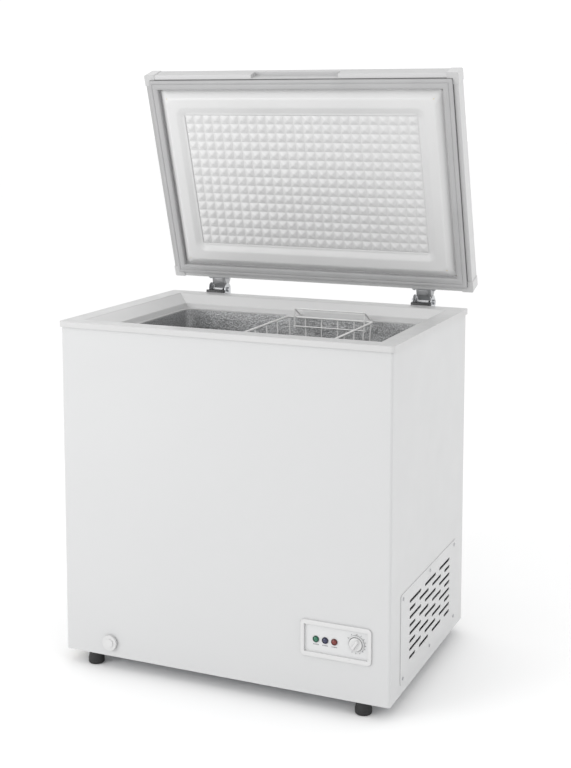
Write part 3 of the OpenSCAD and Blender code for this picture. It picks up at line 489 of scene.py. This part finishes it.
def pyramid(verts, faces, cx, cy, half_w, half_d):
    """Adds one rounded pyramid: squares with cut corners that shrink as they rise."""
    base = len(verts)
    verts += [lid(cx + sx * half_w, cy + sy * half_d, FIELD_Z)
              for sx, sy in ((-1, -1), (1, -1), (1, 1), (-1, 1))]
    below = None
    # share of the base, height over it
    for share, up in ((0.985, 0.0), (0.93, 0.14), (0.86, 0.52), (0.30, 3.9), (0.20, 4.35),
                      (0.09, TALL)):
        hw, hd = half_w * share, half_d * share
        cut = min(0.9 + 0.6 * (1 - share), hw * 0.55)
        ring = [(-hw + cut, -hd), (hw - cut, -hd), (hw, -hd + cut), (hw, hd - cut),
                (hw - cut, hd), (-hw + cut, hd), (-hw, hd - cut), (-hw, -hd + cut)]
        here = len(verts)
        verts += [lid(cx + x, cy + y, FIELD_Z - up) for x, y in ring]
        if below is None:
            for side in range(4):
                after = base + (side + 1) % 4
                first = here + 2 * side
                faces.append((base + side, after, first + 1, first))
                faces.append((after, here + (2 * side + 2) % 8, first + 1))
        else:
            for q in range(8):
                t = (q + 1) % 8
                faces.append((below + q, below + t, here + t, here + q))
        below = here
    faces.append(tuple(below + q for q in range(8)))


def lid_liner():
    """Vacuum-formed panel: raised border with round corners, and a field of small pyramids."""
    # inset from the lid's edge, height over the sealing plane, corner radius
    profile = [
        (38.0, 14.5, 8), (38.0, 13.0, 8), (39.4, 12.9, 9), (40.6, 11.9, 10), (42.2, 10.2, 11),
        (54.0, -0.9, 18), (55.6, -2.2, 19), (57.4, -2.9, 20), (59.5, -3.0, 21), (66.0, -3.0, 22),
        (76.5, -3.0, 22), (79.0, -2.8, 22), (81.4, -2.1, 22), (91.0, 1.7, 18), (93.0, 2.5, 16),
        (95.0, 2.9, 12), (97.0, FIELD_Z, 8), (FIELD_INSET, FIELD_Z, 0.06),
    ]
    verts, faces = loft([lid_ring(inset, z, r, 10) for inset, z, r in profile])
    field_w, field_d = LID_W - 2 * FIELD_INSET, LID_D - 2 * FIELD_INSET
    step_x, step_y = field_w / COLS, field_d / ROWS
    for i in range(COLS):
        for j in range(ROWS):
            pyramid(verts, faces, -field_w / 2 + (i + 0.5) * step_x,
                    -field_d / 2 + (j + 0.5) * step_y, step_x / 2, step_y / 2)
    me = bpy.data.meshes.new("lid_liner_panel")
    me.from_pydata([tuple(v) for v in verts], [], faces)
    bm = bmesh.new()
    bm.from_mesh(me)
    bmesh.ops.remove_doubles(bm, verts=bm.verts, dist=0.00001)
    bmesh.ops.recalc_face_normals(bm, faces=bm.faces)
    # the panel is open at its back, so its outside is settled by the way that it faces
    out = (lid(0, 0, -50) - lid(0, 0, 0)).normalized()
    if sum(f.normal.dot(out) * f.calc_area() for f in bm.faces) < 0:
        bmesh.ops.reverse_faces(bm, faces=bm.faces)
    bm.to_mesh(me)
    bm.free()
    for p in me.polygons:
        p.use_smooth = True
    o = bpy.data.objects.new("lid_liner_panel", me)
    bpy.context.scene.collection.objects.link(o)
    me.materials.append(M["liner"])
    s = o.modifiers.new("skin", "SOLIDIFY")
    s.thickness = 0.0012
    s.offset = -1
    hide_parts("lid_liner")
    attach(o, "lid")


lid_liner()


# ---------------------------------------------------------------- gasket
def gasket():
    """Hollow magnetic seal with a soft lip and a groove, its corners welded square."""
    # inset from the lid's edge, height over the sealing plane
    profile = [
        (13.0, 13.0), (13.0, 9.5), (12.4, 7.0), (12.2, 4.5), (12.6, 2.2), (13.6, 0.9), (15.0, 0.3),
        (19.5, 0.1), (20.2, 0.5), (20.6, 1.3), (21.2, 1.3), (21.6, 0.5), (22.3, 0.1), (31.5, 0.1),
        (33.5, 0.6), (34.8, 1.7), (35.4, 3.4), (35.5, 6.0), (34.6, 8.5), (35.4, 10.5), (35.8, 13.0),
    ]
    rings = [lid_ring(inset, z, max(0.6, 3.0 - (inset - 12) * 0.3), 3) for inset, z in profile]
    verts, faces = loft(rings, closed=True)
    o = make("magnetic_gasket", verts, faces, "seal", "lid")
    split_edges(o, 50)
    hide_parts("lid_gasket")


gasket()


def gasket_groove_shadow():
    """Painted shadow: a dark line in the gap where the gasket's foot is pressed into the rails."""
    rings = [lid_ring(inset, z, 1.5, 3)
             for inset, z in ((10.6, 10.3), (10.6, 9.85), (12.6, 9.85), (12.6, 10.3))]
    verts, faces = loft(rings, closed=True)
    o = make("gasket_groove_shadow", verts, faces, "gap", "lid")


gasket_groove_shadow()


# ---------------------------------------------------------------- rim's corners
def rim_gussets():
    """Small plates that carry the rim's square shelf over to the tub's round corners."""
    half_w = (rim_hi.x - rim_lo.x) / MM / 2 - TUB_INSET
    half_d = (rim_hi.y - rim_lo.y) / MM / 2 - TUB_INSET
    steps, into = 8, 0.5
    low, high = RIM_Z - SHELF_DROP - RIM_SKIN + 0.2, RIM_Z - SHELF_DROP - 0.2
    arc = [math.radians(90 * i / steps) for i in range(steps + 1)]
    edge = [(half_w - TUB_R * (1 - math.cos(a)), half_d - TUB_R * (1 - math.sin(a))) for a in arc]
    edge += [(half_w - TUB_R, half_d + into), (half_w + into, half_d + into),
             (half_w + into, half_d - TUB_R)]
    n = len(edge)
    verts, faces = [], []
    for sx, sy in ((1, 1), (-1, 1), (-1, -1), (1, -1)):
        first = len(verts)
        for z in (low, high):
            verts += [cab(sx * x, sy * y, z) for x, y in edge]
        faces.append(tuple(first + i for i in range(n)))
        faces.append(tuple(first + n + i for i in range(n)))
        for i in range(n):
            k = (i + 1) % n
            faces.append((first + i, first + k, first + n + k, first + n + i))
    o = make("rim_gussets", verts, faces, "rim", "cabinet", smooth=False)


rim_gussets()


# ---------------------------------------------------------------- control panel
def lathe(name, x, z, profile, mat, body, n=48, cap=True):
    """Solid of revolution about an axis out of the front: (radius, distance out of the front)."""
    rings = []
    for r, out in profile:
        turns = [2 * math.pi * i / n for i in range(n)]
        rings.append([cab(x + r * math.cos(a), FRONT - out, z + r * math.sin(a)) for a in turns])
    verts, faces = loft(rings, closed=not cap, capped=cap)
    return make(name, verts, faces, mat, body)


def bars(name, boxes):
    """Small printed bars as one mesh: centre, half sizes and turn in the plane of the front."""
    corners = ((-1, -1, -1), (1, -1, -1), (1, 1, -1), (-1, 1, -1),
               (-1, -1, 1), (1, -1, 1), (1, 1, 1), (-1, 1, 1))
    sides = ((0, 1, 5, 4), (1, 2, 6, 5), (2, 3, 7, 6), (3, 0, 4, 7), (4, 5, 6, 7), (3, 2, 1, 0))
    verts, faces = [], []
    for c, h, turn in boxes:
        ct, st = math.cos(turn), math.sin(turn)
        b = len(verts)
        for sx, sy, sz in corners:
            x, z = sx * h[0], sz * h[2]
            verts.append(cab(c[0] + x * ct + z * st, c[1] + sy * h[1], c[2] - x * st + z * ct))
        faces += [tuple(b + i for i in q) for q in sides]
    make(name, verts, faces, "ink", "cabinet", smooth=False)


DIAL_X, DIAL_Z = 318.5, 158.5       # middle of the thermostat's dial
LAMP_X, LAMP_Z = 227.5, 154.5       # middle of the first lamp
LAMP_STEP = 21.0                    # from lamp to lamp
INK_Y = FRONT + 0.9                 # middle of the print on the sunk plate


def dial():
    """Thermostat dial in its collar, with a painted shadow in the gap between them, and a grip bar
    across its face.
    """
    for name, mat, profile in (
            ("dial_collar", "plate", ((15.6, -1.0), (15.6, 2.6), (16.0, 3.1), (16.8, 3.2),
                                      (17.6, 2.6), (18.6, -1.0))),
            # painted shadow: a dark ring in the gap between the dial and its collar
            ("dial_gap_shadow", "gap", ((14.0, -0.95), (14.0, 0.2), (15.6, 0.2), (15.6, -0.95)))):
        lathe(name, DIAL_X, DIAL_Z, profile, mat, "cabinet", cap=False)
    knob = lathe("thermostat_dial", DIAL_X, DIAL_Z,
                 ((14.3, 0.6), (14.5, 1.0), (14.5, 4.2), (14.3, 4.9), (13.7, 5.4), (12.8, 5.6),
                  (8.0, 5.8), (2.0, 5.8)), "gloss", "knob")
    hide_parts("thermostat_knob")
    turn = math.radians(33)
    along, across = (math.sin(turn), math.cos(turn)), (math.cos(turn), -math.sin(turn))
    rings = []
    # distance out of the front, half the length, half the width
    for out, half, wide in ((5.0, 13.2, 3.6), (7.5, 12.6, 3.3), (10.0, 11.6, 2.9),
                            (11.4, 10.6, 2.5), (12.1, 9.6, 1.8), (12.4, 8.6, 0.9)):
        ring = []
        for u, v in ring_xy(2 * wide, 2 * half, min(wide, 2.4) * 0.95, 5):
            x = u * across[0] + v * along[0]
            z = u * across[1] + v * along[1]
            ring.append(cab(DIAL_X + x, FRONT - out, DIAL_Z + z))
        rings.append(ring)
    verts, faces = loft(rings, capped=True)
    make("thermostat_grip", verts, faces, "gloss", "knob")


def print_marks():
    """Plain ticks round the dial, long and short by turns, and bars in place of words."""
    ticks = []
    for i, deg in enumerate((4, 30, 55, 75, 95, 115, 135, 158, 182, 206, 300, 330)):
        a = math.radians(deg)
        r, half = (21.4, 0.9) if i % 2 else (20.6, 1.5)
        ticks.append(((DIAL_X + r * math.sin(a), INK_Y, DIAL_Z + r * math.cos(a)),
                      (0.55, 0.15, half), a))
    bars("dial_scale", ticks)
    marks = []
    for i in range(3):
        x0 = LAMP_X + LAMP_STEP * i
        for k, half in enumerate((1.0, 0.6, 1.2, 0.8, 1.0)):
            marks.append(((x0 - 5.2 + 2.6 * k, INK_Y, LAMP_Z - 11.5), (half, 0.15, 0.7), 0.0))
    bars("lamp_marks", marks)


def lamps():
    """Dark rim and domed lens of each lamp."""
    for i, tone in enumerate(("green", "blue", "red")):
        x = LAMP_X + LAMP_STEP * i
        ring = lathe("lamp_rim_" + tone, x, LAMP_Z,
                     ((5.2, -1.0), (5.2, 0.6), (5.6, 1.3), (6.4, 1.4), (7.0, 0.8), (7.2, -1.0)),
                     tone + "_rim", "cabinet", n=36, cap=False)
        dome = lathe("lamp_dome_" + tone, x, LAMP_Z,
                     ((5.2, 0.0), (5.0, 1.0), (4.2, 1.7), (2.9, 2.2), (1.4, 2.45), (0.4, 2.5)),
                     tone, "cabinet", n=36)


dial()
print_marks()
lamps()


# ---------------------------------------------------------------- hinges
def pin_arc(radius, degrees):
    """Points about the pin, as depth and height on the closed lid."""
    return [(radius * math.cos(math.radians(a)), radius * math.sin(math.radians(a)))
            for a in degrees]


def hinge_curl(side, x0):
    """The arm's web runs on and curls round the pin."""
    outer = [(-13.0, 5.4)] + pin_arc(6.6, range(125, -156, -14))
    inner = pin_arc(5.0, range(-155, 126, 14)) + [(-13.0, 3.9)]
    outline = outer + inner
    half, n = 15.6, len(outline)
    verts = [lid(x0 + x, PIN_Y + y, PIN_UP + z) for x in (-half, half) for y, z in outline]
    faces = [(i, (i + 1) % n, n + (i + 1) % n, n + i) for i in range(n)]
    for i in range(len(outer) - 1):
        a, b, c, d = i, i + 1, n - 2 - i, n - 1 - i
        faces.append((a, b, c, d))
        faces.append((n + d, n + c, n + b, n + a))
    curl = make("hinge_curl_" + side, verts, faces, "zinc_satin", "lid")
    split_edges(curl, 40)


def hinge_press(side, x0):
    """Raised panel pressed into the web between the two cheeks."""
    rings = [[lid(x0 + u, PIN_Y - 21.8 + v, PIN_UP + z) for u, v in ring_xy(2 * hx, 2 * hy, 2.0, 4)]
             for hx, hy, z in ((12.0, 7.6, 3.9), (11.0, 6.6, 2.9), (10.6, 6.2, 2.8))]
    verts, faces = loft(rings, capped=True)
    make("hinge_press_" + side, verts, faces, "zinc_satin", "lid")


def hinge_shadow_strip(side, x0):
    """Black strip along the bracket's front edge, behind the rim: a painted shadow under the pin's
    curl.
    """
    rings = [[cab(x0 + u - 1.0, 277.0 + v, z) for u, v in ring_xy(2 * hx, 2 * hy, 0.7, 3)]
             for hx, hy, z in ((24.0, 1.5, 776.0), (24.0, 1.7, 801.6), (23.4, 1.3, 802.6),
                               (22.6, 0.8, 802.9))]
    verts, faces = loft(rings, capped=True)
    # the strip takes the plungers' dark nylon as a painted shadow
    make("hinge_shadow_strip_" + side, verts, faces, "plunger", "cabinet")


for side, middle in (("left", -HINGE_X), ("right", HINGE_X)):
    hinge_curl(side, middle)
    hinge_press(side, middle)
    hinge_shadow_strip(side, middle)


# ---------------------------------------------------------------- floor, light, camera
def stage():
    """Plain pale floor, wide enough that its edge never shows."""
    bm = bmesh.new()
    bmesh.ops.create_grid(bm, x_segments=2, y_segments=2, size=40)
    me = bpy.data.meshes.new("floor")
    bm.to_mesh(me)
    bm.free()
    o = bpy.data.objects.new("floor", me)
    bpy.context.scene.collection.objects.link(o)
    m, _, b = new_material("studio_floor")
    b.inputs["Base Color"].default_value = (0.955, 0.955, 0.955, 1)
    b.inputs["Roughness"].default_value = 0.6
    b.inputs["Specular IOR Level"].default_value = 0.2
    me.materials.append(m)


def soft_box(name, watts, place, look, size):
    """Square area light at a place, turned towards a point; both in metres."""
    d = bpy.data.lights.new(name, "AREA")
    d.energy = watts
    d.shape = "RECTANGLE"
    d.size = size
    d.size_y = size
    o = bpy.data.objects.new(name, d)
    o.location = place
    o.rotation_euler = (Vector(look) - Vector(place)).to_track_quat("-Z", "Y").to_euler()
    bpy.context.scene.collection.objects.link(o)


stage()
world = bpy.data.worlds.new("studio")
bpy.context.scene.world = world
world.use_nodes = True
sky = world.node_tree.nodes["Background"]
sky.inputs["Color"].default_value = (1, 1, 1, 1)
sky.inputs["Strength"].default_value = 1.06

soft_box("key", 40, (-2.1, -2.9, 1.5), (0, 0, 0.55), 1.8)
soft_box("fill", 9, (2.8, -0.5, 2.1), (0.9, -0.2, 0.0), 2.0)

scene = bpy.context.scene
scene.view_settings.view_transform = "Standard"
scene.view_settings.look = "None"

cam_data = bpy.data.cameras.new("camera")
cam = bpy.data.objects.new("camera", cam_data)
scene.collection.objects.link(cam)
scene.camera = cam
cam.location = cab(1245.3, -2781.2, 1286.2)
look_down, look_left = math.radians(6.489), math.radians(23.422)
cam.rotation_euler = (math.radians(90) - look_down, 0, look_left)
cam_data.sensor_fit = "AUTO"
cam_data.sensor_width = 36
cam_data.lens = 62.278125
# the lens is shifted down as on a view camera, because the object stands below its axis
cam_data.shift_y = -0.170
cam_data.clip_end = 200
